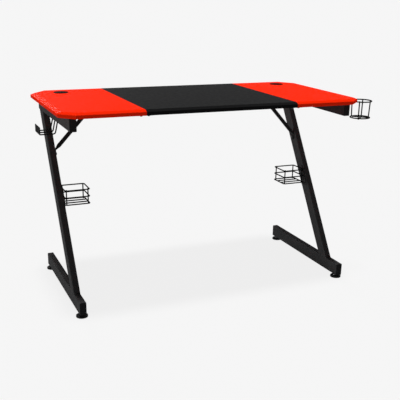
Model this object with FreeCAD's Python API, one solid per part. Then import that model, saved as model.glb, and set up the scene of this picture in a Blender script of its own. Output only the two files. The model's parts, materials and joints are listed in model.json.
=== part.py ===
import FreeCAD, Part
import math
import os

# Gaming desk with a three-panel top on two Z-shaped side frames.
# Millimetres. X runs along the desk, Y from the user's side to the back, Z up.
# The origin is on the floor, under the middle of the desktop.

V = FreeCAD.Vector
UP = V(0, 0, 1)
ACROSS = V(1, 0, 0)
BACK = V(0, 1, 0)

# Desktop
desk_length = 1200.0
desk_depth = 600.0
desk_height = 750.0
top_thickness = 20.0
end_panel_length = 300.0
front_corner_x = 52.0
front_corner_y = 48.0
rear_corner_x = 58.0
rear_corner_y = 70.0
bevel_width = 16.0
bevel_height = 6.5
lip_round = 2.0
bottom_round = 4.0
crease_round = 14.0
seam_gap = 0.4

# Dowels, seam plates and wood screws
dowel_radius = 4.0
dowel_length = 30.0
dowel_shares = (1 / 3, 2 / 3)
plate_thickness = 2.0
seam_plate_length = 60.0
seam_plate_width = 30.0
seam_plate_front_inset = 28.0
seam_screw_x = 14.0
seam_screw_y = 8.0
screw_radius = 2.0
screw_head_radius = 4.0
screw_head_height = 2.8
screw_head_round = 1.0
screw_recess_width = 1.0
screw_recess_length = 4.6
screw_recess_depth = 1.2
wood_screw_length = 14.0
metal_screw_length = 9.0
hole_clearance = 0.2
thread_clearance = 0.05

# Cable grommets
grommet_end_inset = 116.0
grommet_rear_inset = 94.0
grommet_hole_radius = 27.0
grommet_flange_radius = 29.0
grommet_flange_height = 1.6
grommet_flange_round = 0.8
grommet_sleeve_wall = 1.6
grommet_sleeve_drop = 14.0
grommet_ledge_width = 3.0
grommet_ledge_height = 2.0
grommet_ledge_drop = 2.2
cap_gap = 0.3
cap_lift = 0.2
cap_height = 3.6
cap_round = 1.0
cap_skirt_wall = 1.8
cap_skirt_drop = 5.0
cable_slot_width = 13.0
cable_slot_start = 5.0

# Side frames
tube_width = 25.0
tube_wall = 1.5
tube_corner = 3.0
side_frame_x = 550.0
beam_height = 50.0
beam_front_inset = 44.0
beam_rear_overhang = 12.0
leg_depth = 50.0
leg_top_inset = 75.0
foot_height = 50.0
foot_length = 554.0
foot_front_inset = 4.0
leg_setback = 112.0
end_cap_thickness = 3.0
end_cap_plug = 12.0
end_cap_round = 1.0

# Crossbars under the desktop
crossbar_width = 20.0
crossbar_height = 30.0
crossbar_wall = 1.2
crossbar_corner = 2.0
front_crossbar_setback = 200.0
end_plate_thickness = 3.0
end_plate_width = 62.0
bar_bolt_spacing = 42.0
tab_length = 30.0
tab_reach = 25.0
tab_corner = 3.0
bar_tab_inner_x = 150.0
bar_tab_outer_x = 430.0
beam_tab_inset = 60.0

# Hexagon bolts and their nuts inside the tubes
bolt_radius = 3.0
bolt_head_across = 10.0
bolt_head_height = 4.0
bolt_length = 14.0
nut_neck_radius = 4.5
nut_radius = 6.5
nut_length = 8.0

# Diagonal braces
brace_radius = 8.0
brace_wall = 1.5
brace_flat_thickness = 3.0
brace_flat_width = 22.0
brace_bolt_reach = 15.0
brace_taper = 22.0
neck_start_share = 0.9
brace_drop = 140.0
brace_reach = 148.0

# Levelling feet
leveller_height = 13.0
pad_radius = 22.0
pad_height = 7.0
pad_round = 2.0
pad_boss_radius = 12.0
pad_boss_height = 1.2
pad_floor = 3.0
pad_inset = 20.0
stud_radius = 4.0
stud_length = 28.0
stud_tip_chamfer = 0.8
stud_base_radius = 6.0
stud_hex_across = 13.0
stud_gap = 0.2
stud_run_gap = 0.1
leveller_nut_radius = 8.0
leveller_nut_height = 10.0

# Wire goods
wire_radius = 2.5
weld_gap = 0.05

# Cup holder
cup_edge_gap = 18.0
cup_setback = 109.0
cup_top_radius = 42.0
cup_bottom_radius = 39.5
cup_height = 67.0
cup_bend = 4.0
cup_arm_spacing = 36.0
cup_plate_length = 32.0
cup_plate_width = 56.0
cup_screw_spacing = 16.0

# Headphone hook
hook_setback = 282.0
hook_wire_spacing = 42.0
hook_wires = 3
hook_drop = 50.0
hook_lean = 11.0
hook_reach = 66.0
hook_bend = 10.0
hook_tip_height = 29.0
hook_plate_width = 20.0
hook_plate_margin = 7.0
hook_screw_spacing = 42.0

# Wire baskets
basket_length = 97.0
basket_width = 91.0
basket_height = 57.0
basket_drop = 277.0
basket_shift = 24.0
basket_corner = 8.0
basket_rings = 3
basket_floor_wires = 2
basket_plate_thickness = 4.0
basket_plate_width = 36.0
basket_plate_margin = 5.0

# One overrun serves every cut, and corners closer than same_place count as one
overrun = 5.0
same_place = 0.02

# Derived places
half_length = desk_length / 2
half_depth = desk_depth / 2
underside_z = desk_height - top_thickness
lip_z = desk_height - bevel_height
seam_x = half_length - end_panel_length
plate_z = underside_z - plate_thickness
beam_bottom_z = underside_z - beam_height
foot_bottom_z = leveller_height
foot_top_z = foot_bottom_z + foot_height
foot_front_y = -half_depth + foot_front_inset
foot_rear_y = foot_front_y + foot_length
inner_face_x = side_frame_x - tube_width / 2
outer_face_x = side_frame_x + tube_width / 2
leg_foot_y = foot_front_y + leg_setback
leg_top_y = half_depth - leg_top_inset
slant = math.atan2(leg_top_y - leg_foot_y, beam_bottom_z - foot_top_z)
leg_along = V(0, math.sin(slant), math.cos(slant))
leg_half_run = leg_depth / 2 / math.cos(slant)


def leg_y(z):
    """Middle of the leg at a height."""
    return leg_foot_y + (z - foot_top_z) * math.tan(slant)


beam_front_y = -half_depth + beam_front_inset
beam_rear_y = leg_top_y + leg_half_run + beam_rear_overhang
brace_foot_z = beam_bottom_z - brace_drop
rear_crossbar_y = leg_y(brace_foot_z - brace_bolt_reach)
front_crossbar_y = -half_depth + front_crossbar_setback
crossbar_bottom_z = underside_z - crossbar_height
crossbar_end_x = inner_face_x - end_plate_thickness


# Shape helpers

def block(x_span, y_span, z_span):
    """Box between pairs of limits."""
    low = V(x_span[0], y_span[0], z_span[0])
    return Part.makeBox(x_span[1] - x_span[0], y_span[1] - y_span[0], z_span[1] - z_span[0], low)


def around(middle, size):
    """Limits of a size centred on a place."""
    return (middle - size / 2, middle + size / 2)


def rod(start, end, radius):
    """Round bar between two points."""
    return Part.makeCylinder(radius, (end - start).Length, start, end - start)


def mirrored(shape):
    """Same shape on the other end of the desk."""
    return shape.mirror(V(0, 0, 0), ACROSS)


def laid(shape, base, along, across):
    """Local Z laid along one direction and local X across it, from a base point."""
    turn = FreeCAD.Rotation(across, along.cross(across), along, "ZXY")
    copy = shape.copy()
    copy.Placement = FreeCAD.Placement(base, turn)
    return copy


def edges_along(shape, direction):
    """Straight edges that run in a direction."""
    found = []
    for edge in shape.Edges:
        run = edge.Vertexes[-1].Point - edge.Vertexes[0].Point
        if run.Length > same_place and run.cross(direction).Length < same_place:
            found.append(edge)
    return found


def level_edges(shape, z):
    """Edges that lie flat at a height."""
    return [edge for edge in shape.Edges if all(abs(corner.Z - z) < same_place for corner in edge.Vertexes)]


def longest(edges):
    """Longest of some edges."""
    return max(edges, key=lambda edge: edge.Length)


def rounded_bar(width, depth, length, corner):
    """Bar along local Z with its long edges rounded."""
    bar = block(around(0, width), around(0, depth), (0, length))
    return bar.makeFillet(corner, edges_along(bar, UP))


def tube(width, depth, length, corner, wall):
    """Rectangular tube along local Z."""
    inside = rounded_bar(width - 2 * wall, depth - 2 * wall, length + 2 * overrun, corner - wall)
    inside.translate(-UP * overrun)
    return rounded_bar(width, depth, length, corner).cut(inside)


def turned(points):
    """Solid turned about Z from a profile of radius and height."""
    corners = [V(radius, 0, z) for radius, z in points]
    face = Part.Face(Part.makePolygon(corners + corners[:1]))
    return face.revolve(V(0, 0, 0), UP, 360)


def hexagon(across, height):
    """Hexagonal head on local Z."""
    radius = across / math.sqrt(3)
    turns = [math.pi * k / 3 for k in range(6)]
    corners = [V(radius * math.cos(turn), radius * math.sin(turn), 0) for turn in turns]
    return Part.Face(Part.makePolygon(corners + corners[:1])).extrude(UP * height)


def wire_run(points, bend):
    """Round wire through points, with arcs at its corners."""
    edges = []
    last = points[0]
    for before, corner, after in zip(points, points[1:], points[2:]):
        back = (before - corner).normalize()
        on = (after - corner).normalize()
        half_angle = back.getAngle(on) / 2
        enter = corner + back * (bend / math.tan(half_angle))
        leave = corner + on * (bend / math.tan(half_angle))
        middle = corner + (back + on).normalize() * (bend / math.sin(half_angle) - bend)
        edges.append(Part.makeLine(last, enter))
        edges.append(Part.Arc(enter, middle, leave).toShape())
        last = leave
    edges.append(Part.makeLine(last, points[-1]))
    profile = Part.Wire(Part.makeCircle(wire_radius, points[0], points[1] - points[0]))
    return Part.Wire(edges).makePipeShell([profile], True, False)


# Fasteners

def pan_screw(seat, drive, length):
    """Cross-headed screw whose head sits on the seat and whose shank runs along drive."""
    head = Part.makeCylinder(screw_head_radius, screw_head_height, -UP * screw_head_height)
    head = head.makeFillet(screw_head_round, level_edges(head, -screw_head_height))
    depth = (-screw_head_height - overrun, -screw_head_height + screw_recess_depth)
    wide = around(0, screw_recess_length)
    narrow = around(0, screw_recess_width)
    recess = block(wide, narrow, depth).fuse(block(narrow, wide, depth))
    shank = rod(V(0, 0, 0), UP * length, screw_radius)
    side = BACK if abs(drive.dot(ACROSS)) > abs(drive.dot(UP)) else ACROSS
    return laid(head.cut(recess).fuse(shank).removeSplitter(), seat, drive, side)


def screw_hole(seat, drive, length, clearance):
    """Hole for a screw, open at its seat."""
    return rod(seat - drive * overrun, seat + drive * length, screw_radius + clearance)


def hex_bolt(seat, drive):
    """Hexagon bolt whose head sits on the seat and whose shank runs along drive."""
    head = hexagon(bolt_head_across, bolt_head_height)
    head.translate(-UP * bolt_head_height)
    shank = rod(V(0, 0, 0), UP * bolt_length, bolt_radius)
    side = BACK if abs(drive.dot(ACROSS)) > abs(drive.dot(UP)) else ACROSS
    return laid(head.fuse(shank), seat, drive, side)


def bolt_hole(seat, drive, length):
    """Clear hole for a bolt through a plate."""
    return rod(seat - drive * overrun, seat + drive * length, bolt_radius + hole_clearance)


def tube_nut(face, drive, wall):
    """Nut inside a tube, with its neck flush with the tube's outer face."""
    neck = rod(face, face + drive * wall, nut_neck_radius - thread_clearance)
    body = rod(face + drive * wall, face + drive * (wall + nut_length), nut_radius)
    end = face + drive * (wall + nut_length + overrun)
    bore = rod(face - drive * overrun, end, bolt_radius + thread_clearance)
    return neck.fuse(body).cut(bore)


def nut_hole(face, drive, wall):
    """Hole in a tube's wall for a nut's neck."""
    return rod(face - drive * overrun, face + drive * wall, nut_neck_radius)


# Places that several pieces share

def seam_screw_spots(seam):
    """Screws of the plates under one seam."""
    spots = []
    for y in seam_plate_places:
        for dx in (-seam_screw_x, seam_screw_x):
            for dy in (-seam_screw_y, seam_screw_y):
                spots.append(V(seam + dx, y + dy, plate_z))
    return spots


seams = (-seam_x, seam_x)
crossbar_places = (front_crossbar_y, rear_crossbar_y)
behind_crossbars_y = rear_crossbar_y + crossbar_width / 2 + tab_reach
seam_plate_places = (
    -half_depth + seam_plate_front_inset,
    (front_crossbar_y + rear_crossbar_y) / 2,
    (behind_crossbars_y + half_depth) / 2,
)
bar_tab_places = (-bar_tab_outer_x, -bar_tab_inner_x, bar_tab_inner_x, bar_tab_outer_x)
bar_tab_y = [y + crossbar_width / 2 + tab_reach / 2 for y in crossbar_places]
beam_tab_x = inner_face_x - tab_reach / 2
beam_tab_y = (beam_front_y + beam_tab_inset, beam_rear_y - beam_tab_inset)
tab_spots = [V(x, y, plate_z) for y in bar_tab_y for x in bar_tab_places]
tab_spots += [V(x, y, plate_z) for y in beam_tab_y for x in (-beam_tab_x, beam_tab_x)]

grommet_x = half_length - grommet_end_inset
grommet_y = half_depth - grommet_rear_inset

cup_x = half_length + cup_edge_gap + cup_top_radius + wire_radius
cup_y = -half_depth + cup_setback
cup_top_z = plate_z - wire_radius
cup_bottom_z = cup_top_z - cup_height
cup_plate_x = (outer_face_x + half_length) / 2
cup_screw_spots = [V(x, cup_y, plate_z) for x in around(cup_plate_x, cup_screw_spacing)]

hook_y = beam_front_y + hook_setback
hook_half_width = hook_wire_spacing * (hook_wires - 1) / 2
hook_plate_z = beam_bottom_z - plate_thickness
hook_screw_spots = [V(-side_frame_x, y, hook_plate_z) for y in around(hook_y, hook_screw_spacing)]

basket_outer_x = inner_face_x - basket_plate_thickness - wire_radius
basket_inner_x = basket_outer_x - basket_length
basket_top_z = beam_bottom_z - basket_drop
basket_bottom_z = basket_top_z - basket_height
basket_middle_z = basket_top_z - basket_height / 2
basket_front_y = leg_y(basket_middle_z) + basket_shift - basket_width / 2
basket_rear_y = basket_front_y + basket_width
basket_ring_z = [basket_bottom_z + basket_height * k / (basket_rings - 1) for k in range(basket_rings)]
basket_screw_z = [(low + high) / 2 for low, high in zip(basket_ring_z, basket_ring_z[1:])]
basket_plate_face_x = inner_face_x - basket_plate_thickness
basket_screw_spots = [V(basket_plate_face_x, leg_y(z), z) for z in basket_screw_z]

brace_foot = V(inner_face_x - brace_flat_thickness / 2, rear_crossbar_y, brace_foot_z)
brace_head = V(brace_foot.x - brace_reach, rear_crossbar_y, crossbar_bottom_z - brace_flat_thickness / 2)
leg_bolt_seat = V(inner_face_x - brace_flat_thickness, rear_crossbar_y, brace_foot_z - brace_bolt_reach)
bar_bolt_seat = V(brace_head.x - brace_bolt_reach, rear_crossbar_y, crossbar_bottom_z - brace_flat_thickness)

pad_places = {
    "front": foot_front_y + pad_inset,
    "rear": foot_rear_y - pad_inset,
}


# Desktop pieces

def outline():
    """Corners of the desktop, anticlockwise from the front left."""
    return [
        V(-half_length + front_corner_x, -half_depth, 0),
        V(half_length - front_corner_x, -half_depth, 0),
        V(half_length, -half_depth + front_corner_y, 0),
        V(half_length, half_depth - rear_corner_y, 0),
        V(half_length - rear_corner_x, half_depth, 0),
        V(-half_length + rear_corner_x, half_depth, 0),
        V(-half_length, half_depth - rear_corner_y, 0),
        V(-half_length, -half_depth + front_corner_y, 0),
    ]


def moved_in(corners, distance):
    """Corners of a convex outline with every side moved inward."""
    sides = []
    for start, end in zip(corners, corners[1:] + corners[:1]):
        along = (end - start).normalize()
        sides.append((start + UP.cross(along) * distance, along))
    result = []
    for (base, along), (other, turn) in zip(sides[-1:] + sides[:-1], sides):
        reach = (other - base).cross(turn).z / along.cross(turn).z
        result.append(base + along * reach)
    return result


def raised(corners, z):
    """Closed outline at a height."""
    points = [corner + UP * z for corner in corners]
    return Part.makePolygon(points + points[:1])


def whole_top():
    """Desktop as one board: a square lip under a bevel, with softened edges."""
    lip = Part.Face(raised(outline(), underside_z)).extrude(UP * (lip_z - underside_z))
    flat_part = raised(moved_in(outline(), bevel_width), desk_height)
    bevel = Part.makeLoft([raised(outline(), lip_z), flat_part], True, True)
    board = lip.fuse(bevel).removeSplitter()
    board = board.makeFillet(crease_round, level_edges(board, desk_height))
    board = board.makeFillet(lip_round, level_edges(board, lip_z))
    return board.makeFillet(bottom_round, level_edges(board, underside_z))


def dowel_spots(seam):
    """Middles of the dowels across one seam, between its plates."""
    z = underside_z + top_thickness / 2
    gaps = list(zip(seam_plate_places, seam_plate_places[1:]))
    return [V(seam, low + (high - low) * share, z) for low, high in gaps for share in dowel_shares]


def dowel(spot, clearance):
    """Dowel, or its hole where a clearance is given."""
    reach = ACROSS * (dowel_length / 2 + clearance)
    return rod(spot - reach, spot + reach, dowel_radius + clearance)


def panels():
    """Left, centre and right boards, with their dowel, screw and grommet holes."""
    board = whole_top()
    holes = [dowel(spot, hole_clearance) for seam in seams for spot in dowel_spots(seam)]
    wood_spots = tab_spots + cup_screw_spots
    for seam in seams:
        wood_spots = wood_spots + seam_screw_spots(seam)
    depth = wood_screw_length + hole_clearance
    holes += [screw_hole(spot, UP, depth, thread_clearance) for spot in wood_spots]
    for x in (-grommet_x, grommet_x):
        low = V(x, grommet_y, underside_z - overrun)
        holes.append(rod(low, low + UP * (top_thickness + 2 * overrun), grommet_hole_radius))
    board = board.cut(Part.makeCompound(holes))
    y_span = (-half_depth - overrun, half_depth + overrun)
    z_span = (underside_z - overrun, desk_height + overrun)
    half_gap = seam_gap / 2
    return {
        "left_panel": board.common(block((-half_length - overrun, -seam_x - half_gap), y_span, z_span)),
        "centre_panel": board.common(block((-seam_x + half_gap, seam_x - half_gap), y_span, z_span)),
        "right_panel": board.common(block((seam_x + half_gap, half_length + overrun), y_span, z_span)),
    }


def flat_plate(x_span, y_span, z_span, spots):
    """Level plate with rounded corners and a clear hole at each screw."""
    plate = block(x_span, y_span, z_span)
    plate = plate.makeFillet(tab_corner, edges_along(plate, UP))
    holes = [screw_hole(spot, UP, plate_thickness + overrun, hole_clearance) for spot in spots]
    return plate.cut(Part.makeCompound(holes))


def seam_plates():
    """Steel plates that hold the boards together from below."""
    z_span = (plate_z, underside_z)
    plates = []
    for seam in seams:
        x_span = around(seam, seam_plate_length)
        for y in seam_plate_places:
            spots = [spot for spot in seam_screw_spots(seam) if abs(spot.y - y) < seam_plate_width]
            plates.append(flat_plate(x_span, around(y, seam_plate_width), z_span, spots))
    return plates


def grommet_ring(x):
    """Flanged sleeve with a ledge that carries the cap."""
    outer = grommet_hole_radius - hole_clearance
    inner = outer - grommet_sleeve_wall
    ledge = inner - grommet_ledge_width
    ledge_z = desk_height - grommet_ledge_drop
    flange_z = desk_height + grommet_flange_height
    ring = turned([
        (outer, desk_height - grommet_sleeve_drop),
        (outer, desk_height),
        (grommet_flange_radius, desk_height),
        (grommet_flange_radius, flange_z),
        (inner, flange_z),
        (inner, ledge_z),
        (ledge, ledge_z),
        (ledge, ledge_z - grommet_ledge_height),
        (inner, ledge_z - grommet_ledge_height),
        (inner, desk_height - grommet_sleeve_drop),
    ])
    rim = longest(level_edges(ring, flange_z))
    return ring.makeFillet(grommet_flange_round, [rim]).translated(V(x, grommet_y, 0))


def grommet_cap(x):
    """Turning cap with a cable slot."""
    outer = grommet_hole_radius - hole_clearance - grommet_sleeve_wall - cap_gap
    skirt = outer - grommet_ledge_width
    base_z = desk_height - grommet_ledge_drop + cap_lift
    cap_z = base_z + cap_height
    cap = turned([
        (0, base_z),
        (skirt - cap_skirt_wall, base_z),
        (skirt - cap_skirt_wall, base_z - cap_skirt_drop),
        (skirt, base_z - cap_skirt_drop),
        (skirt, base_z),
        (outer, base_z),
        (outer, cap_z),
        (0, cap_z),
    ])
    cap = cap.makeFillet(cap_round, level_edges(cap, cap_z))
    drop = (base_z - cap_skirt_drop - overrun, cap_z + overrun)
    slot = block((cable_slot_start, outer + overrun), around(0, cable_slot_width), drop)
    return cap.cut(slot).translated(V(x, grommet_y, 0))


# Side frame pieces, made for the right end

def beam():
    """Top tube of a side frame, with the holes for the crossbar nuts."""
    length = beam_rear_y - beam_front_y
    base = V(side_frame_x, beam_front_y, underside_z - beam_height / 2)
    shape = laid(tube(tube_width, beam_height, length, tube_corner, tube_wall), base, BACK, ACROSS)
    holes = [nut_hole(spot + ACROSS * end_plate_thickness, ACROSS, tube_wall) for spot in bar_bolt_spots()]
    return shape.cut(Part.makeCompound(holes))


def left_beam():
    """Left top tube, which also takes the hook's screws."""
    holes = [screw_hole(spot, UP, metal_screw_length, thread_clearance) for spot in hook_screw_spots]
    return mirrored(beam()).cut(Part.makeCompound(holes))


def leg():
    """Slanted tube, cut level where it meets the foot and the beam."""
    low = V(side_frame_x, leg_y(foot_top_z), foot_top_z)
    length = (beam_bottom_z - foot_top_z) / math.cos(slant)
    spare = leg_depth * math.tan(slant) + overrun
    shape = tube(tube_width, leg_depth, length + 2 * spare, tube_corner, tube_wall)
    shape = laid(shape, low - leg_along * spare, leg_along, ACROSS)
    slab = block(around(side_frame_x, tube_width + overrun),
                 (leg_y(foot_top_z) - desk_depth, leg_y(beam_bottom_z) + desk_depth),
                 (foot_top_z, beam_bottom_z))
    holes = [screw_hole(spot, ACROSS, metal_screw_length, thread_clearance) for spot in basket_screw_spots]
    holes.append(nut_hole(leg_bolt_seat + ACROSS * brace_flat_thickness, ACROSS, tube_wall))
    return shape.common(slab).cut(Part.makeCompound(holes))


def foot():
    """Floor tube, with the holes for the levelling studs."""
    base = V(side_frame_x, foot_front_y, foot_bottom_z + foot_height / 2)
    shape = laid(tube(tube_width, foot_height, foot_length, tube_corner, tube_wall), base, BACK, ACROSS)
    holes = []
    for y in pad_places.values():
        low = V(side_frame_x, y, foot_bottom_z - overrun)
        holes.append(rod(low, low + UP * (overrun + tube_wall), stud_radius + 2 * hole_clearance))
    return shape.cut(Part.makeCompound(holes))


def end_cap(height, base, outward):
    """Plastic plug that closes a tube's end."""
    head = rounded_bar(tube_width, height, end_cap_thickness, tube_corner)
    head = head.makeFillet(end_cap_round, level_edges(head, end_cap_thickness))
    inset = 2 * (tube_wall + hole_clearance)
    plug = rounded_bar(tube_width - inset, height - inset, end_cap_plug, tube_corner - tube_wall)
    plug.translate(-UP * end_cap_plug)
    return laid(head.fuse(plug), base, outward, ACROSS)


def beam_end_caps():
    """Caps on both ends of both beams."""
    z = underside_z - beam_height / 2
    caps = []
    for x in (-side_frame_x, side_frame_x):
        caps.append(end_cap(beam_height, V(x, beam_front_y, z), -BACK))
        caps.append(end_cap(beam_height, V(x, beam_rear_y, z), BACK))
    return caps


def foot_end_caps():
    """Caps on both ends of both feet."""
    z = foot_bottom_z + foot_height / 2
    caps = []
    for x in (-side_frame_x, side_frame_x):
        caps.append(end_cap(foot_height, V(x, foot_front_y, z), -BACK))
        caps.append(end_cap(foot_height, V(x, foot_rear_y, z), BACK))
    return caps


# Crossbars and what joins them to the frames and the desktop

def bar_bolt_spots():
    """Seats of the bolts at the crossbars' right ends."""
    z = underside_z - crossbar_height / 2
    return [V(crossbar_end_x, y + dy, z) for y in crossbar_places for dy in around(0, bar_bolt_spacing)]


def crossbar(y):
    """Tube along the desk, between its end plates."""
    base = V(-crossbar_end_x, y, underside_z - crossbar_height / 2)
    shape = tube(crossbar_width, crossbar_height, 2 * crossbar_end_x, crossbar_corner, crossbar_wall)
    return laid(shape, base, ACROSS, BACK)


def rear_crossbar():
    """Rear tube, which also takes the braces' upper nuts."""
    holes = []
    for side in (-1, 1):
        face = V(side * bar_bolt_seat.x, bar_bolt_seat.y, crossbar_bottom_z)
        holes.append(nut_hole(face, UP, crossbar_wall))
    return crossbar(rear_crossbar_y).cut(Part.makeCompound(holes))


def end_plates():
    """Plates welded to the crossbars' ends and bolted to the beams."""
    plates = []
    x_span = (crossbar_end_x, inner_face_x)
    for y in crossbar_places:
        plate = block(x_span, around(y, end_plate_width), (crossbar_bottom_z, underside_z))
        plate = plate.makeFillet(tab_corner, edges_along(plate, ACROSS))
        spots = [spot for spot in bar_bolt_spots() if abs(spot.y - y) < end_plate_width]
        holes = [bolt_hole(spot, ACROSS, end_plate_thickness + overrun) for spot in spots]
        plate = plate.cut(Part.makeCompound(holes))
        plates += [plate, mirrored(plate)]
    return plates


def crossbar_bolts():
    """Bolts through the end plates, at both ends."""
    bolts = [hex_bolt(spot, ACROSS) for spot in bar_bolt_spots()]
    return bolts + [mirrored(bolt) for bolt in bolts]


def crossbar_nuts():
    """Nuts inside the beams."""
    nuts = [tube_nut(spot + ACROSS * end_plate_thickness, ACROSS, tube_wall) for spot in bar_bolt_spots()]
    return nuts + [mirrored(nut) for nut in nuts]


def top_tabs():
    """Tabs welded to the crossbars and beams, screwed to the desktop."""
    z_span = (plate_z, underside_z)
    tabs = []
    for spot in tab_spots:
        on_beam = abs(abs(spot.x) - beam_tab_x) < same_place
        size_x, size_y = (tab_reach, tab_length) if on_beam else (tab_length, tab_reach)
        tabs.append(flat_plate(around(spot.x, size_x), around(spot.y, size_y), z_span, [spot]))
    return tabs


# Braces, made for the right end

def flat_end(bend, along, normal):
    """Flattened end of a brace: a round-ended strip from its bend, with a bolt hole."""
    strip = block(around(0, brace_flat_width), around(0, brace_flat_thickness), (0, brace_bolt_reach))
    bolt_place = UP * brace_bolt_reach
    half_thick = BACK * (brace_flat_thickness / 2)
    tip = rod(bolt_place - half_thick, bolt_place + half_thick, brace_flat_width / 2)
    hole = rod(bolt_place - BACK * overrun, bolt_place + BACK * overrun, bolt_radius + hole_clearance)
    return laid(strip.fuse(tip).cut(hole), bend, along, along.cross(normal))


def brace_neck(bend, along):
    """Taper from a flattened strip to the round tube."""
    half_width = brace_flat_width / 2 * neck_start_share
    half_thick = brace_flat_thickness / 2 * neck_start_share
    flat = Part.Wire(Part.Ellipse(V(0, 0, 0), half_width, half_thick).toShape())
    ring = Part.Wire(Part.makeCircle(brace_radius, UP * brace_taper))
    return laid(Part.makeLoft([flat, ring], True, True), bend, along, BACK)


def brace():
    """Round tube with both ends flattened and bent to their seats."""
    along = (brace_head - brace_foot).normalize()
    low = brace_foot + along * brace_taper
    high = brace_head - along * brace_taper
    tube_part = rod(low, high, brace_radius).cut(rod(low, high, brace_radius - brace_wall))
    half_fold = BACK * (brace_flat_width / 2)
    shape = tube_part.fuse([
        brace_neck(brace_foot, along),
        brace_neck(brace_head, -along),
        rod(brace_foot - half_fold, brace_foot + half_fold, brace_flat_thickness / 2),
        rod(brace_head - half_fold, brace_head + half_fold, brace_flat_thickness / 2),
        flat_end(brace_foot, -UP, ACROSS),
        flat_end(brace_head, -ACROSS, UP),
    ])
    return shape.removeSplitter()


def both_braces(pieces):
    """A brace's fastener at the leg and at the crossbar, on both ends of the desk."""
    return pieces + [mirrored(piece) for piece in pieces]


def brace_bolts():
    """Bolts of both braces."""
    return both_braces([hex_bolt(leg_bolt_seat, ACROSS), hex_bolt(bar_bolt_seat, UP)])


def brace_nuts():
    """Nuts inside the legs and the rear crossbar."""
    leg_nut = tube_nut(leg_bolt_seat + ACROSS * brace_flat_thickness, ACROSS, tube_wall)
    bar_nut = tube_nut(bar_bolt_seat + UP * brace_flat_thickness, UP, crossbar_wall)
    return both_braces([leg_nut, bar_nut])


# Levelling feet

def pad(x, y):
    """Round floor pad with a socket for the stud."""
    socket = stud_base_radius + stud_run_gap
    top_z = pad_height + pad_boss_height
    shape = turned([
        (0, 0),
        (pad_radius, 0),
        (pad_radius, pad_height),
        (pad_boss_radius, pad_height),
        (pad_boss_radius, top_z),
        (socket, top_z),
        (socket, pad_floor),
        (0, pad_floor),
    ])
    rim = longest(level_edges(shape, pad_height))
    return shape.makeFillet(pad_round, [rim]).translated(V(x, y, 0))


def stud(x, y):
    """Threaded stud with a hexagon to turn it and a round base held in the pad."""
    hex_low = pad_height + pad_boss_height + stud_gap
    hex_high = foot_bottom_z - stud_gap
    base = rod(UP * (pad_floor + stud_gap), UP * hex_low, stud_base_radius)
    nut = hexagon(stud_hex_across, hex_high - hex_low).translated(UP * hex_low)
    top_z = foot_bottom_z + stud_length
    shank = rod(UP * hex_high, UP * top_z, stud_radius)
    shank = shank.makeChamfer(stud_tip_chamfer, level_edges(shank, top_z))
    return base.fuse([nut, shank]).translated(V(x, y, 0))


def leveller_nuts():
    """Nuts welded inside the feet."""
    nuts = []
    low_z = foot_bottom_z + tube_wall
    for x in (-side_frame_x, side_frame_x):
        for y in pad_places.values():
            low = V(x, y, low_z)
            high = V(x, y, low_z + leveller_nut_height)
            bore = rod(low - UP * overrun, high + UP * overrun, stud_radius + stud_run_gap)
            nuts.append(rod(low, high, leveller_nut_radius).cut(bore))
    return nuts


# Cup holder at the right end

def cup_arms():
    """Two straight wires under the plate, cut to fit against the top ring."""
    ring = cup_ring(cup_top_radius, cup_top_z)
    inner_x = cup_plate_x - cup_plate_length / 2
    arms = []
    for y in around(cup_y, cup_arm_spacing):
        half_chord = math.sqrt(cup_top_radius ** 2 - (cup_arm_spacing / 2) ** 2)
        arm = rod(V(inner_x, y, cup_top_z), V(cup_x - half_chord, y, cup_top_z), wire_radius)
        pieces = arm.cut(ring).Solids
        arms.append(max(pieces, key=lambda piece: piece.Volume))
    return arms


def cup_ring(radius, z):
    """Level ring of wire about the cup's middle."""
    return Part.makeTorus(radius, wire_radius, V(cup_x, cup_y, z), UP)


def cup_cradle():
    """Two U-shaped wires inside the rings, one crossing over the other under the cup."""
    wires = []
    inset = 2 * wire_radius + weld_gap
    lean = (cup_top_radius - cup_bottom_radius) / cup_height
    for k, turn in enumerate((math.pi / 4, 3 * math.pi / 4)):
        out = V(math.cos(turn), math.sin(turn), 0)
        floor_z = cup_bottom_z - cup_bend + k * (2 * wire_radius + weld_gap)
        middle = V(cup_x, cup_y, 0)
        high = out * (cup_top_radius - inset + lean * wire_radius)
        low = out * (cup_bottom_radius - inset - lean * (cup_bottom_z - floor_z))
        top = UP * (cup_top_z + wire_radius)
        floor = UP * floor_z
        wires.append(wire_run([middle + high + top, middle + low + floor,
                               middle - low + floor, middle - high + top], cup_bend))
    return wires


# Headphone hook under the left beam

def hook_wire_set():
    """J-shaped wires side by side, leaning outward and cut level under their plate."""
    tip_x = -side_frame_x - hook_reach
    low_z = hook_plate_z - hook_drop + wire_radius
    lean = hook_lean / (hook_plate_z - low_z)
    below = block((tip_x - overrun, 0), (-half_depth, half_depth), (0, hook_plate_z))
    wires = []
    for k in range(hook_wires):
        y = hook_y - hook_half_width + hook_wire_spacing * k
        top = V(-side_frame_x + lean * overrun, y, hook_plate_z + overrun)
        wire = wire_run([top, V(-side_frame_x - hook_lean, y, low_z), V(tip_x, y, low_z)], hook_bend)
        wires.append(wire.common(below).Solids[0])
    return wires


def hook_tip():
    """Upright plate across the wires' ends."""
    tip_x = -side_frame_x - hook_reach
    low_z = hook_plate_z - hook_drop
    y_span = (hook_y - hook_half_width - wire_radius, hook_y + hook_half_width + wire_radius)
    plate = block((tip_x - plate_thickness, tip_x), y_span, (low_z, low_z + hook_tip_height))
    return plate.makeFillet(tab_corner, edges_along(plate, ACROSS))


def hook_plate():
    """Plate under the beam that the wires are welded to."""
    reach = hook_half_width + hook_plate_margin
    return flat_plate(around(-side_frame_x, hook_plate_width), (hook_y - reach, hook_y + reach),
                      (hook_plate_z, beam_bottom_z), hook_screw_spots)


# Wire baskets, made for the right leg

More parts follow.
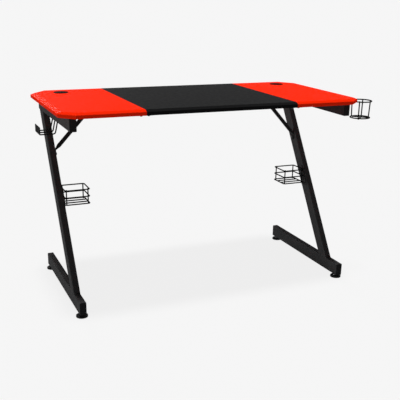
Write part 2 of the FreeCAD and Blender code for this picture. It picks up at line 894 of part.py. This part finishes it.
def basket_ring(z):
    """Rounded rectangle of wire."""
    middle_y = (basket_front_y + basket_rear_y) / 2
    halves = []
    for y in (basket_front_y, basket_rear_y):
        halves.append(wire_run([V(basket_inner_x, middle_y, z), V(basket_inner_x, y, z),
                                V(basket_outer_x, y, z), V(basket_outer_x, middle_y, z)], basket_corner))
    return halves[0].fuse(halves[1]).removeSplitter()


def basket_uprights():
    """Upright wires nested inside the rings' corners."""
    nest = basket_corner - (basket_corner - 2 * wire_radius - weld_gap) / math.sqrt(2)
    low_z = basket_bottom_z - wire_radius
    high_z = basket_top_z + wire_radius
    rods = []
    for x in (basket_inner_x + nest, basket_outer_x - nest):
        for y in (basket_front_y + nest, basket_rear_y - nest):
            rods.append(rod(V(x, y, low_z), V(x, y, high_z), wire_radius))
    return rods


def basket_floor():
    """Wires butted between the ends of the bottom ring."""
    inset = wire_radius + weld_gap
    rods = []
    for k in range(1, basket_floor_wires + 1):
        y = basket_front_y + basket_width * k / (basket_floor_wires + 1)
        start = V(basket_inner_x + inset, y, basket_bottom_z)
        rods.append(rod(start, start + ACROSS * (basket_length - 2 * inset), wire_radius))
    return rods


def basket_plate():
    """Plate between the leg's inner face and the rings, in line with the leg."""
    length = (basket_height + 2 * basket_plate_margin) / math.cos(slant)
    bar = block(around(0, basket_plate_thickness), around(0, basket_plate_width), (0, length))
    bar = bar.makeFillet(tab_corner, edges_along(bar, ACROSS))
    low_z = basket_bottom_z - basket_plate_margin
    base = V(inner_face_x - basket_plate_thickness / 2, leg_y(low_z), low_z)
    depth = basket_plate_thickness + overrun
    holes = [screw_hole(spot, ACROSS, depth, hole_clearance) for spot in basket_screw_spots]
    return laid(bar, base, leg_along, ACROSS).cut(Part.makeCompound(holes))


def basket_screws():
    """Screws of both baskets."""
    screws = [pan_screw(spot, ACROSS, metal_screw_length) for spot in basket_screw_spots]
    return screws + [mirrored(screw) for screw in screws]


# Every node by name

def build():
    """All pieces of the desk, by node name."""
    nodes = panels()
    nodes["panel_dowels"] = [dowel(spot, 0) for seam in seams for spot in dowel_spots(seam)]
    nodes["seam_plates"] = seam_plates()
    seam_spots = [spot for seam in seams for spot in seam_screw_spots(seam)]
    nodes["seam_screws"] = [pan_screw(spot, UP, wood_screw_length) for spot in seam_spots]
    for side, x in (("left", -grommet_x), ("right", grommet_x)):
        nodes[side + "_grommet_ring"] = grommet_ring(x)
        nodes[side + "_grommet_cap"] = grommet_cap(x)

    nodes["left_beam"] = left_beam()
    nodes["right_beam"] = beam()
    nodes["beam_end_caps"] = beam_end_caps()
    nodes["left_leg"] = mirrored(leg())
    nodes["right_leg"] = leg()
    nodes["left_foot"] = mirrored(foot())
    nodes["right_foot"] = foot()
    nodes["foot_end_caps"] = foot_end_caps()

    nodes["front_crossbar"] = crossbar(front_crossbar_y)
    nodes["rear_crossbar"] = rear_crossbar()
    nodes["crossbar_end_plates"] = end_plates()
    nodes["crossbar_bolts"] = crossbar_bolts()
    nodes["crossbar_nuts"] = crossbar_nuts()
    nodes["top_tabs"] = top_tabs()
    nodes["top_tab_screws"] = [pan_screw(spot, UP, wood_screw_length) for spot in tab_spots]

    nodes["left_brace"] = mirrored(brace())
    nodes["right_brace"] = brace()
    nodes["brace_bolts"] = brace_bolts()
    nodes["brace_nuts"] = brace_nuts()

    for row, y in pad_places.items():
        for side, x in (("left", -side_frame_x), ("right", side_frame_x)):
            nodes[f"{row}_{side}_pad"] = pad(x, y)
            nodes[f"{row}_{side}_stud"] = stud(x, y)
    nodes["leveller_nuts"] = leveller_nuts()

    cup_plate_y = around(cup_y, cup_plate_width)
    nodes["cup_holder_plate"] = flat_plate(around(cup_plate_x, cup_plate_length), cup_plate_y,
                                           (plate_z, underside_z), cup_screw_spots)
    nodes["cup_holder_arms"] = cup_arms()
    nodes["cup_holder_top_ring"] = cup_ring(cup_top_radius, cup_top_z)
    nodes["cup_holder_bottom_ring"] = cup_ring(cup_bottom_radius, cup_bottom_z)
    nodes["cup_holder_cradle"] = cup_cradle()
    nodes["cup_holder_screws"] = [pan_screw(spot, UP, wood_screw_length) for spot in cup_screw_spots]

    nodes["hook_plate"] = hook_plate()
    nodes["hook_wires"] = hook_wire_set()
    nodes["hook_tip"] = hook_tip()
    nodes["hook_screws"] = [pan_screw(spot, UP, metal_screw_length) for spot in hook_screw_spots]

    for side in ("left", "right"):
        place = mirrored if side == "left" else Part.Shape.copy
        nodes[side + "_basket_rings"] = [place(basket_ring(z)) for z in basket_ring_z]
        nodes[side + "_basket_uprights"] = [place(piece) for piece in basket_uprights()]
        nodes[side + "_basket_floor"] = [place(piece) for piece in basket_floor()]
        nodes[side + "_basket_plate"] = place(basket_plate())
    nodes["basket_screws"] = basket_screws()
    return nodes


def write(nodes):
    """One file per node; a list of identical pieces is one group of solids."""
    os.makedirs("parts", exist_ok=True)
    for name, shape in nodes.items():
        if isinstance(shape, list):
            shape = Part.makeCompound(shape)
        shape.exportStep(f"parts/{name}.step")


write(build())
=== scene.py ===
import json
import math
import bmesh
import bpy
from mathutils import Matrix, Vector


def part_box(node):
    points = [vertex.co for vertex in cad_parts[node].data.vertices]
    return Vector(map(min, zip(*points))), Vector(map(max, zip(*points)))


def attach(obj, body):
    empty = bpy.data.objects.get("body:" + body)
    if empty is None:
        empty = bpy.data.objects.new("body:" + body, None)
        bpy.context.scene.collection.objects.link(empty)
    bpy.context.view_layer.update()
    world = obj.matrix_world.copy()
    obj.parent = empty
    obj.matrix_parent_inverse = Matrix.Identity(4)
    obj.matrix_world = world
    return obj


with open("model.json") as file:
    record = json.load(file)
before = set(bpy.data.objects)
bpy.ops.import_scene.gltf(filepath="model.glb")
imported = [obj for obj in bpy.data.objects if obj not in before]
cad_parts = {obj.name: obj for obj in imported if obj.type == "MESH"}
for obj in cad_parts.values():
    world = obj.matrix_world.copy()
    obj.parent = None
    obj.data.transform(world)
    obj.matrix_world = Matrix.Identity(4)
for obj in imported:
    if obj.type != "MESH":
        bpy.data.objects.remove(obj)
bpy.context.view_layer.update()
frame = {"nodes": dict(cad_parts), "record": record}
scene = bpy.context.scene


# Node materials

# Most of a noise texture's values lie between these two
noise_low, noise_high = 0.3, 0.7


class Paint:
    """A material under construction: one Principled shader and the textures that feed it."""

    def __init__(self, name, roughness, metallic=0.0, specular=0.5):
        self.mat = bpy.data.materials.new(name)
        self.mat.use_nodes = True
        self.tree = self.mat.node_tree
        self.shader = self.tree.nodes["Principled BSDF"]
        self.shader.inputs["Roughness"].default_value = roughness
        self.shader.inputs["Metallic"].default_value = metallic
        self.shader.inputs["Specular IOR Level"].default_value = specular
        self.coords = self.tree.nodes.new("ShaderNodeTexCoord").outputs["Object"]

    def add(self, kind, **values):
        """A node with values for its sockets or, where no socket has the name, its settings."""
        node = self.tree.nodes.new(kind)
        for key, value in values.items():
            if key in node.inputs:
                node.inputs[key].default_value = value
            else:
                setattr(node, key, value)
        return node

    def link(self, source, target):
        self.tree.links.new(source, target)

    def stretched(self, scale):
        """Coordinates stretched along an axis, for grain and brush marks."""
        node = self.add("ShaderNodeMapping", Scale=scale)
        self.link(self.coords, node.inputs["Vector"])
        return node.outputs["Vector"]

    def noise(self, scale, detail, roughness=0.55, coords=None):
        node = self.add("ShaderNodeTexNoise", Scale=scale, Detail=detail, Roughness=roughness)
        self.link(coords or self.coords, node.inputs["Vector"])
        return node.outputs["Fac"]

    def cells(self, scale):
        node = self.add("ShaderNodeTexVoronoi", feature="SMOOTH_F1", Scale=scale, Smoothness=0.6)
        self.link(self.coords, node.inputs["Vector"])
        return node.outputs["Distance"]

    def colour(self, value, dark, light, start=noise_low, end=noise_high):
        """Base colour that goes from dark to light as a value goes from start to end."""
        node = self.add("ShaderNodeValToRGB")
        for mark, place, tone in zip(node.color_ramp.elements, (start, end), (dark, light)):
            mark.position = place
            mark.color = (*tone, 1)
        self.link(value, node.inputs["Fac"])
        self.link(node.outputs["Color"], self.shader.inputs["Base Color"])

    def rough(self, value, low, high):
        """Roughness that goes from low to high with a noise."""
        node = self.add("ShaderNodeMapRange")
        limits = {"From Min": noise_low, "From Max": noise_high, "To Min": low, "To Max": high}
        for key, limit in limits.items():
            node.inputs[key].default_value = limit
        self.link(value, node.inputs["Value"])
        self.link(node.outputs["Result"], self.shader.inputs["Roughness"])

    def bump(self, value, strength, depth, under=None):
        """Fine relief, laid over a coarser one where that is given."""
        node = self.add("ShaderNodeBump", Strength=strength, Distance=depth)
        self.link(value, node.inputs["Height"])
        if under:
            self.link(under, node.inputs["Normal"])
        self.link(node.outputs["Normal"], self.shader.inputs["Normal"])
        return node.outputs["Normal"]


def toned(colour, share):
    """A colour made darker or lighter by a share."""
    return tuple(channel * share for channel in colour)


def film_board(name, colour, roughness, specular):
    """Board wrapped in plastic film with a fine pebbled grain."""
    dark_share = 0.965
    smoother, rougher = 0.04, 0.05
    paint = Paint(name, roughness, specular=specular)
    paint.colour(paint.noise(scale=9.0, detail=4.0), toned(colour, dark_share), colour)
    paint.rough(paint.noise(scale=60.0, detail=3.0), roughness - smoother, roughness + rougher)
    waves = paint.bump(paint.noise(scale=14.0, detail=2.0), strength=0.05, depth=0.0006)
    paint.bump(paint.cells(scale=950.0), strength=0.10, depth=0.00012, under=waves)
    return paint.mat


def powder_coat(name, colour, roughness, specular, grain):
    """Baked powder paint: fine orange peel over a slightly uneven colour."""
    dark_share, light_share = 0.85, 1.12
    smoother, rougher = 0.05, 0.06
    paint = Paint(name, roughness, specular=specular)
    cloud = paint.noise(scale=26.0, detail=5.0)
    paint.colour(cloud, toned(colour, dark_share), toned(colour, light_share))
    paint.rough(paint.noise(scale=140.0, detail=3.0), roughness - smoother, roughness + rougher)
    paint.bump(paint.noise(scale=grain, detail=2.0), strength=0.16, depth=0.00015)
    return paint.mat


def moulded(name, colour, roughness, specular, grain):
    """Moulded plastic with a spark-eroded grain."""
    dark_share, light_share = 0.88, 1.1
    smoother, rougher = 0.05, 0.07
    paint = Paint(name, roughness, specular=specular)
    cloud = paint.noise(scale=45.0, detail=4.0)
    paint.colour(cloud, toned(colour, dark_share), toned(colour, light_share))
    paint.rough(paint.noise(scale=210.0, detail=2.0), roughness - smoother, roughness + rougher)
    paint.bump(paint.cells(scale=grain), strength=0.22, depth=0.00012)
    return paint.mat


def metal(name, dark, light, roughness):
    """Plated or blackened steel with faint brush marks."""
    squeeze_along_z = (1.0, 1.0, 7.0)
    smoother, rougher = 0.07, 0.10
    paint = Paint(name, roughness, metallic=1.0)
    paint.colour(paint.noise(scale=180.0, detail=5.0), dark, light)
    marks = paint.noise(scale=420.0, detail=4.0, coords=paint.stretched(squeeze_along_z))
    paint.rough(marks, roughness - smoother, roughness + rougher)
    paint.bump(marks, strength=0.12, depth=0.00006)
    return paint.mat


def beech(name):
    """Plain beech with short dark flecks along X."""
    draw_along_x = (0.09, 1.0, 1.0)
    dark, light = (0.42, 0.25, 0.12), (0.66, 0.45, 0.25)
    paint = Paint(name, roughness=0.55, specular=0.4)
    grain = paint.noise(scale=260.0, detail=6.0, roughness=0.65, coords=paint.stretched(draw_along_x))
    paint.colour(grain, dark, light, start=0.32, end=0.62)
    paint.rough(grain, low=0.48, high=0.64)
    paint.bump(grain, strength=0.25, depth=0.0002)
    return paint.mat


finishes = {
    "red_board": film_board("red_film", colour=(0.95, 0.022, 0.0025), roughness=0.48, specular=0.0013),
    "black_board": film_board("black_film", colour=(0.0085, 0.0085, 0.0088), roughness=0.52, specular=0.003),
    "frame_paint": powder_coat("frame_powder_coat", colour=(0.056, 0.056, 0.057),
                               roughness=0.60, specular=0.003, grain=620.0),
    "wire_paint": powder_coat("wire_powder_coat", colour=(0.009, 0.009, 0.0095),
                              roughness=0.60, specular=0.006, grain=1100.0),
    # Braces: the darker base colour is painted shade; the lower roughness and higher specular are a glossier
    # coat
    "shaded_brace_paint": powder_coat("shaded_brace_powder_coat", colour=(0.015, 0.015, 0.0155),
                               roughness=0.40, specular=0.02, grain=620.0),
    "black_plastic": moulded("black_moulding", colour=(0.018, 0.018, 0.0185),
                             roughness=0.55, specular=0.012, grain=1600.0),
    "grommet_plastic": moulded("grommet_moulding", colour=(0.0035, 0.0035, 0.0037),
                               roughness=0.58, specular=0.002, grain=1600.0),
    "pad_plastic": moulded("pad_moulding", colour=(0.022, 0.022, 0.022),
                           roughness=0.55, specular=0.012, grain=1100.0),
    "black_steel": metal("black_oxide", dark=(0.030, 0.030, 0.032), light=(0.055, 0.055, 0.058),
                         roughness=0.38),
    "zinc_steel": metal("zinc_plate", dark=(0.50, 0.51, 0.53), light=(0.66, 0.67, 0.69),
                        roughness=0.30),
    "dowel_wood": beech("beech_dowel"),
}

# The braces get a darker copy of the frame's black: painted shade for the shade they lie in under the
# desktop. The grommets are a darker black than the other pieces in their slots
tone_and_shade_override = {}
for side in ("left", "right"):
    tone_and_shade_override[f"{side}_brace"] = "shaded_brace_paint"
    tone_and_shade_override[f"{side}_grommet_ring"] = "grommet_plastic"
    tone_and_shade_override[f"{side}_grommet_cap"] = "grommet_plastic"

for row in frame["record"]["subparts"]:
    node = frame["nodes"][row["node"]]
    for place in node.material_slots:
        place.material = finishes[tone_and_shade_override.get(row["node"], row["material_slot"])]


# Weld beads, across the front and the rear of each leg where it meets its foot and its beam

# Lengths in metres; the leg's depth is that of its tube, square to the slant
leg_depth = 0.050
bead_radius = 0.0030
bead_inset = 0.0012
bead_lift = 0.0003
ripple_length = 0.0024
ripple_depth_share = 0.10
steps_per_ripple = 6
bead_sides = 14
end_sharpness = 10
BACK = Vector((0, 1, 0))
UP = Vector((0, 0, 1))


def swell(share, ripples):
    """Share of the bead's radius at a place along it: ripples in a row, and rounded ends."""
    ripple = 1 - ripple_depth_share * (1 - abs(math.sin(math.pi * ripples * share)))
    return ripple * math.sqrt(1 - abs(2 * share - 1) ** end_sharpness)


def weld_bead(name, start, end):
    """Rippled bead of weld metal along a line across the desk."""
    ripples = round((end - start).length / ripple_length)
    steps = ripples * steps_per_ripple
    turns = [2 * math.pi * side / bead_sides for side in range(bead_sides)]
    mesh = bmesh.new()
    rings = []
    for step in range(1, steps):
        share = step / steps
        middle = start.lerp(end, share)
        radius = bead_radius * swell(share, ripples)
        rings.append([mesh.verts.new(middle + (BACK * math.cos(turn) + UP * math.sin(turn)) * radius)
                      for turn in turns])
    first_tip, last_tip = mesh.verts.new(start), mesh.verts.new(end)
    for side in range(bead_sides):
        after = (side + 1) % bead_sides
        for ring, further in zip(rings, rings[1:]):
            mesh.faces.new((ring[side], ring[after], further[after], further[side]))
        mesh.faces.new((first_tip, rings[0][after], rings[0][side]))
        mesh.faces.new((last_tip, rings[-1][side], rings[-1][after]))
    bmesh.ops.recalc_face_normals(mesh, faces=mesh.faces)
    data = bpy.data.meshes.new(name)
    mesh.to_mesh(data)
    mesh.free()
    data.shade_smooth()
    data.materials.append(finishes["frame_paint"])
    obj = bpy.data.objects.new(name, data)
    scene.collection.objects.link(obj)
    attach(obj, "desk")


def leg_welds(side):
    """Beads at the four corners that a slanted leg makes with its foot and its beam."""
    low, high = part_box(f"{side}_leg")
    height, reach = high.z - low.z, high.y - low.y
    # The leg's box gives its slope: reach = height * slope + leg_depth * sqrt(1 + slope ** 2)
    divisor = height ** 2 - leg_depth ** 2
    root = math.sqrt((reach * height) ** 2 - divisor * (reach ** 2 - leg_depth ** 2))
    slope = (reach * height - root) / divisor
    level_depth = leg_depth * math.hypot(1, slope)
    along = (BACK * slope + UP).normalized()
    corners = {
        "foot_front": (low.y, low.z, along - BACK),
        "foot_rear": (low.y + level_depth, low.z, along + BACK),
        "beam_front": (high.y - level_depth, high.z, -along - BACK),
        "beam_rear": (high.y, high.z, BACK - along),
    }
    for place, (y, z, outward) in corners.items():
        lift = outward.normalized() * bead_lift
        weld_bead(f"{side}_{place}_weld", Vector((low.x + bead_inset, y, z)) + lift,
                  Vector((high.x - bead_inset, y, z)) + lift)


leg_welds("left")
leg_welds("right")


# Floor, light and surroundings

backdrop_tone = 0.921
floor_half = 400.0
floor_drop = 0.0003
floor_own_share = 0.91
floor_lit_tone = 0.80
floor_bounce_tone = 0.46
studio_side_light = 0.05
studio_top_light = 0.07


def number(tree, operation, first, second):
    """A sum or the like of two sockets, or of a socket and a number."""
    node = tree.nodes.new("ShaderNodeMath")
    node.operation = operation
    for place, value in enumerate((first, second)):
        if isinstance(value, float):
            node.inputs[place].default_value = value
        else:
            tree.links.new(value, node.inputs[place])
    return node.outputs["Value"]


def shown(tree):
    """Whether a ray meets the pale backdrop: in view, through glass or in a reflection."""
    path = tree.nodes.new("ShaderNodeLightPath")
    seen = number(tree, "MAXIMUM", path.outputs["Is Camera Ray"], path.outputs["Is Transmission Ray"])
    return number(tree, "MAXIMUM", seen, path.outputs["Is Glossy Ray"])


def floor_material():
    """Pale matt floor: part of its tone is its own, the rest is lit, so that it keeps a soft shadow."""
    mat = bpy.data.materials.new("pale_floor")
    mat.use_nodes = True
    tree = mat.node_tree
    tree.nodes.remove(tree.nodes["Principled BSDF"])
    seen = shown(tree)

    def matt(tone):
        node = tree.nodes.new("ShaderNodeBsdfDiffuse")
        node.inputs["Color"].default_value = (tone, tone, tone, 1)
        return node.outputs["BSDF"]

    def both(share, first, second):
        node = tree.nodes.new("ShaderNodeMixShader")
        if isinstance(share, float):
            node.inputs["Fac"].default_value = share
        else:
            tree.links.new(share, node.inputs["Fac"])
        tree.links.new(first, node.inputs[1])
        tree.links.new(second, node.inputs[2])
        return node.outputs["Shader"]

    own = tree.nodes.new("ShaderNodeEmission")
    own.inputs["Color"].default_value = (backdrop_tone, backdrop_tone, backdrop_tone, 1)
    pale = both(floor_own_share, matt(floor_lit_tone), own.outputs["Emission"])
    surface = both(seen, matt(floor_bounce_tone), pale)
    tree.links.new(surface, tree.nodes["Material Output"].inputs["Surface"])
    return mat


def floor():
    """Level square far wider than any view, just under the pads."""
    mesh = bpy.data.meshes.new("floor")
    corners = [(-floor_half, -floor_half, 0), (floor_half, -floor_half, 0),
               (floor_half, floor_half, 0), (-floor_half, floor_half, 0)]
    mesh.from_pydata(corners, [], [(0, 1, 2, 3)])
    obj = bpy.data.objects.new("floor", mesh)
    obj.location.z = -floor_drop
    mesh.materials.append(floor_material())
    scene.collection.objects.link(obj)


def surroundings():
    """Studio: a little brighter overhead than at the sides; plain and pale where it is seen."""
    world = bpy.data.worlds.new("studio")
    world.use_nodes = True
    scene.world = world
    tree = world.node_tree
    ground = tree.nodes["Background"]
    ground.inputs["Color"].default_value = (1, 1, 1, 1)
    axes = tree.nodes.new("ShaderNodeSeparateXYZ")
    coords = tree.nodes.new("ShaderNodeTexCoord").outputs["Generated"]
    tree.links.new(coords, axes.inputs["Vector"])
    rising = tree.nodes.new("ShaderNodeMapRange")
    rising.inputs["To Min"].default_value = studio_side_light
    rising.inputs["To Max"].default_value = studio_top_light
    tree.links.new(axes.outputs["Z"], rising.inputs["Value"])
    seen = shown(tree)
    hidden = number(tree, "SUBTRACT", 1.0, seen)
    unseen_light = number(tree, "MULTIPLY", rising.outputs["Result"], hidden)
    seen_light = number(tree, "MULTIPLY", seen, backdrop_tone)
    tree.links.new(number(tree, "ADD", unseen_light, seen_light), ground.inputs["Strength"])


def lamp(name, towards, energy, spread):
    """Distant soft lamp that shines from a direction, with its spread in degrees."""
    data = bpy.data.lights.new(name, "SUN")
    data.energy = energy
    data.angle = math.radians(spread)
    obj = bpy.data.objects.new(name, data)
    obj.rotation_euler = Vector(towards).to_track_quat("Z", "Y").to_euler()
    scene.collection.objects.link(obj)


floor()
surroundings()
lamp("overhead", towards=(0.0, 0.0, 1.0), energy=2.95, spread=9.0)
lamp("side", towards=(-0.97, 0.22, 0.06), energy=0.95, spread=8.0)
lamp("fill", towards=(0.95, 0.0, 0.20), energy=0.45, spread=40.0)
lamp("back", towards=(0.0, 0.96, 0.27), energy=1.00, spread=16.0)


# Camera, with its angles in radians and its lens in millimetres

camera_place = Vector((-1.10519, -2.63965, 1.14919))
camera_yaw = 0.40866
camera_pitch = 0.33904
camera_roll = 0.01797
camera_lens = 64.30
camera_sensor = 36.0
camera_shift = 0.1


def camera():
    """Camera that is turned to the right by its yaw, down by its pitch and then by its roll."""
    ahead = Vector((math.sin(camera_yaw) * math.cos(camera_pitch),
                    math.cos(camera_yaw) * math.cos(camera_pitch),
                    -math.sin(camera_pitch)))
    level = Vector((math.cos(camera_yaw), -math.sin(camera_yaw), 0))
    upright = level.cross(ahead)
    right = level * math.cos(camera_roll) + upright * math.sin(camera_roll)
    up = upright * math.cos(camera_roll) - level * math.sin(camera_roll)
    data = bpy.data.cameras.new("camera")
    data.sensor_width = camera_sensor
    data.lens = camera_lens
    data.shift_y = camera_shift
    obj = bpy.data.objects.new("camera", data)
    turn = Matrix((right, up, -ahead)).transposed()
    obj.matrix_world = Matrix.Translation(camera_place) @ turn.to_4x4()
    scene.collection.objects.link(obj)
    scene.camera = obj


camera()
scene.view_settings.view_transform = "Standard"
